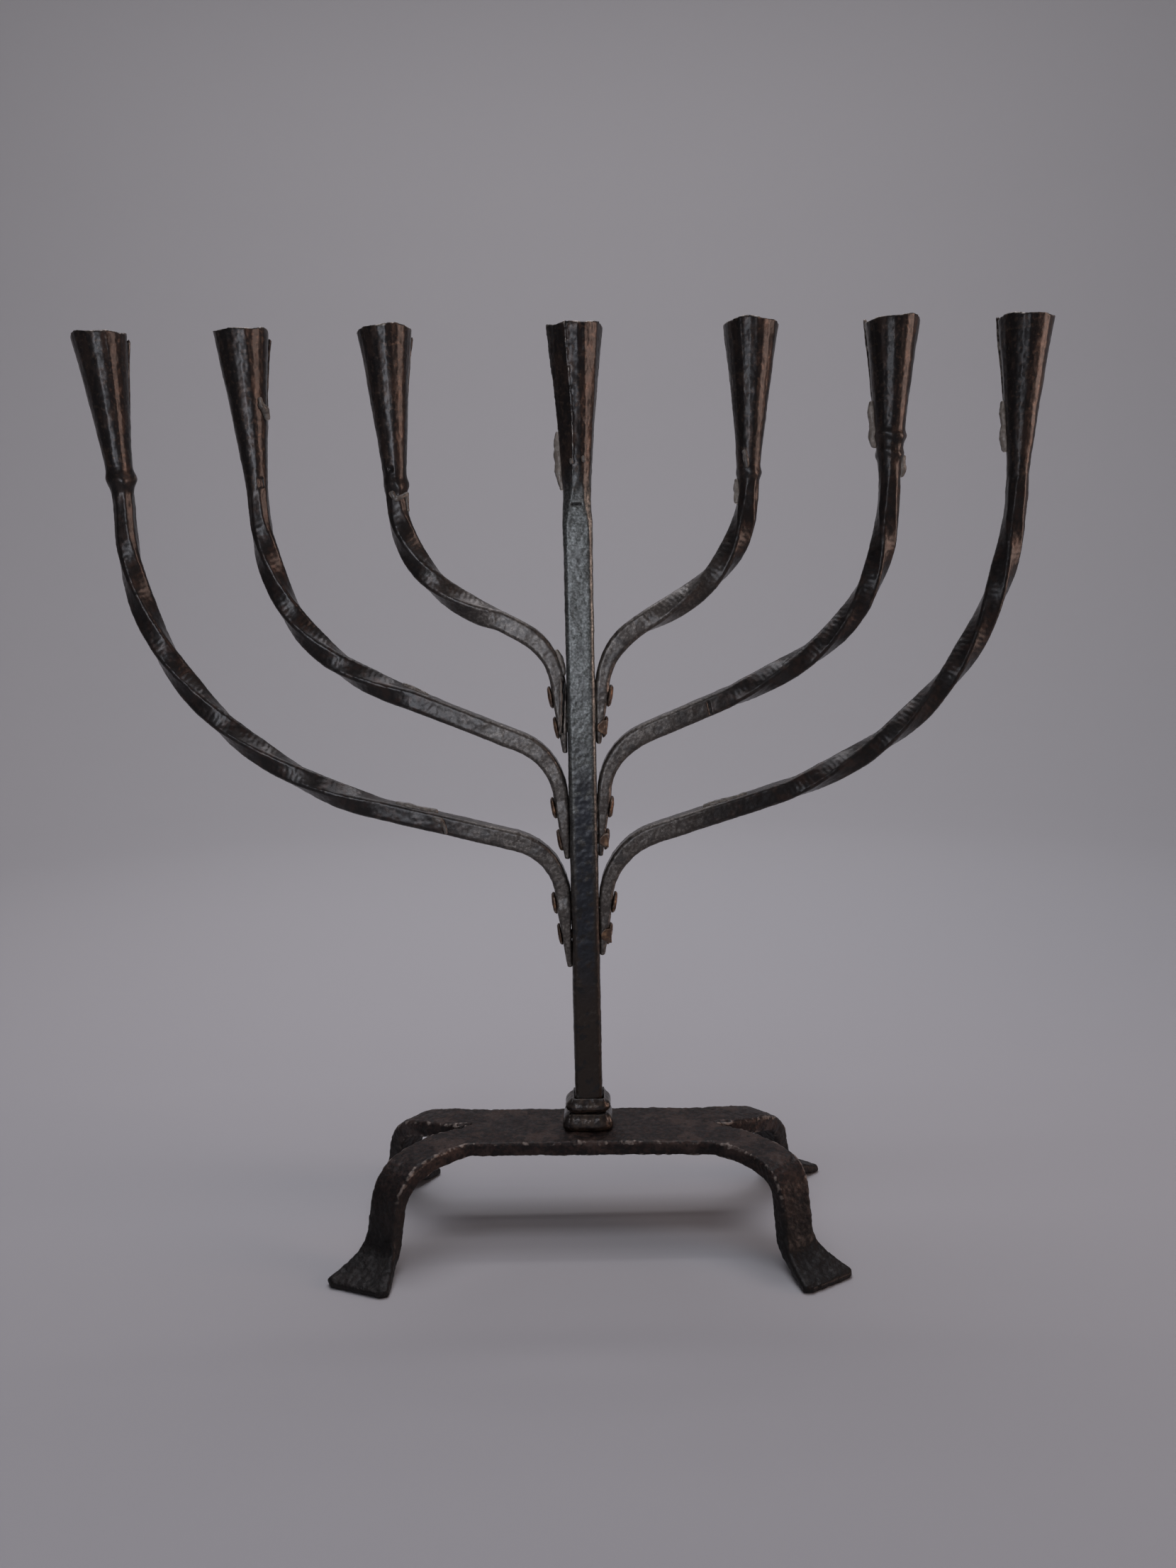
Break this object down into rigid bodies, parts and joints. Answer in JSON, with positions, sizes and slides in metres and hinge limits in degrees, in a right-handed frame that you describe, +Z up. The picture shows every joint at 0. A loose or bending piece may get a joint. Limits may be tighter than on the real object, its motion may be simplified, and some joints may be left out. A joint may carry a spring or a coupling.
{
  "type": "menorah",
  "caption": "Hand-forged iron menorah: a square stem with riveted, twisted arms that end in rolled candle sockets, on a flat bar split into splayed feet",
  "frame": {"origin": "on the table, under the middle of the bounding box; the stem stands slightly to its right and behind it", "axes": "+X along the row of sockets to the right, +Y to the back, +Z up"},
  "size_m": [0.563, 0.1692, 0.5442],
  "materials": {
    "forge_scale": "hand-forged iron with blue-grey hammer scale, lightly waxed",
    "brown_patina": "hand-forged iron with brown-black patina and worn edges",
    "rivet_iron": "hammered iron rivet, brown oxide"
  },
  "bodies": {
    "root": {"base": "brown_patina", "stem": "forge_scale", "collar_lower": "brown_patina", "collar_upper": "brown_patina", "arm_low_left": "forge_scale", "arm_low_right": "forge_scale", "rivet_low_upper": "rivet_iron", "rivet_low_lower": "rivet_iron", "arm_middle_left": "forge_scale", "arm_middle_right": "forge_scale", "rivet_middle_upper": "rivet_iron", "rivet_middle_lower": "rivet_iron", "arm_high_left": "forge_scale", "arm_high_right": "forge_scale", "rivet_high_upper": "rivet_iron", "rivet_high_lower": "rivet_iron"}
  },
  "joints": []
}
